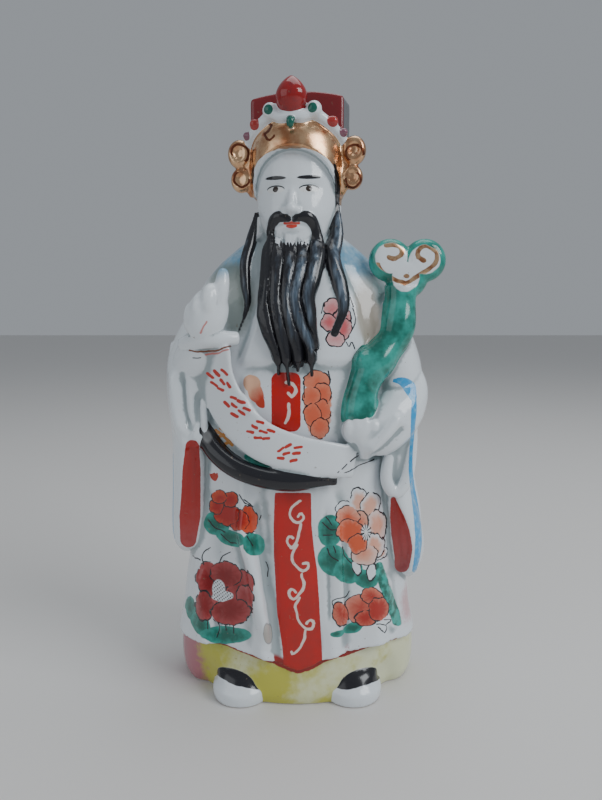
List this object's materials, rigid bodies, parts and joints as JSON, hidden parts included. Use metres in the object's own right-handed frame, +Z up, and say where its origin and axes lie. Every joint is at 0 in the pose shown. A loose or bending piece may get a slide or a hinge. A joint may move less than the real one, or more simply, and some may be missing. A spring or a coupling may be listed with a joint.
{
  "type": "porcelain figure",
  "caption": "Standing bearded official in a robe and jewelled cap, holding a scroll and a sceptre, in painted glazed porcelain, for a shelf or table.",
  "frame": {"origin": "middle of the flat underside", "axes": "+Z up through the cap, -Y the way the figure faces, +X towards the sceptre, at the viewer's right"},
  "size_m": [0.0914, 0.0547, 0.1996],
  "materials": {
    "porcelain": "glossy white glaze with hand-painted enamels and gold lustre"
  },
  "bodies": {
    "root": {"figure": "porcelain"}
  },
  "joints": []
}
